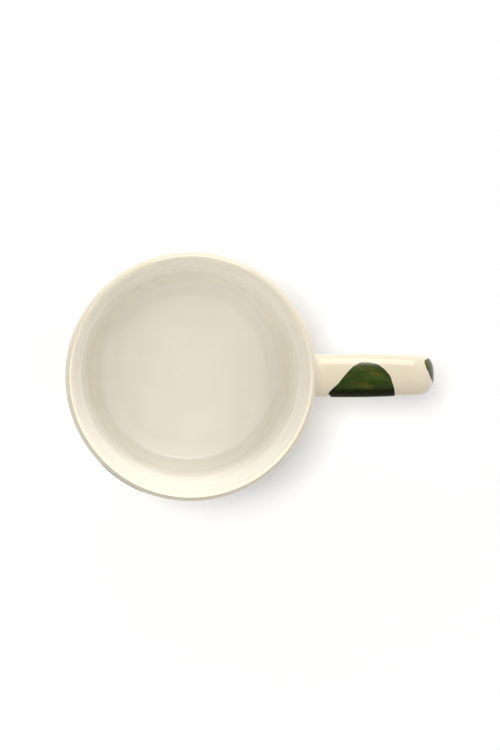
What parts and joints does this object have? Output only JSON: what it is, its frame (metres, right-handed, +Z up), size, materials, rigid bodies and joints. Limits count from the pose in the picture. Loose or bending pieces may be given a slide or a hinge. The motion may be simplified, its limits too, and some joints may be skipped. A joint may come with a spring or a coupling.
{
  "type": "mug",
  "caption": "Tapered stoneware mug with a flared mouth, foot ring, squared loop handle, cream glaze coats and round green brushed dabs.",
  "frame": {"origin": "centre of the footprint's bounding box, on the surface that the foot stands on; the mug's own axis lies 22.3 mm to -X of it", "axes": "+Z up along the mug's axis, +X from the mug's axis towards the handle"},
  "size_m": [0.1346, 0.09, 0.088],
  "materials": {
    "clay": "matte",
    "slip": "satin",
    "cream_glaze": "gloss",
    "green_glaze": "gloss"
  },
  "bodies": {
    "root": {"mug_body": "clay", "handle": "clay", "upper_handle_joint": "slip", "lower_handle_joint": "slip", "liner_glaze": "cream_glaze", "outer_glaze": "cream_glaze", "handle_glaze": "cream_glaze", "base_glaze": "cream_glaze", "wall_dab_01": "green_glaze", "wall_dab_02": "green_glaze", "wall_dab_03": "green_glaze", "wall_dab_04": "green_glaze", "wall_dab_05": "green_glaze", "wall_dab_06": "green_glaze", "wall_dab_07": "green_glaze", "wall_dab_08": "green_glaze", "wall_dab_09": "green_glaze", "wall_dab_10": "green_glaze", "handle_dab_top": "green_glaze", "handle_dab_end": "green_glaze"}
  },
  "joints": []
}
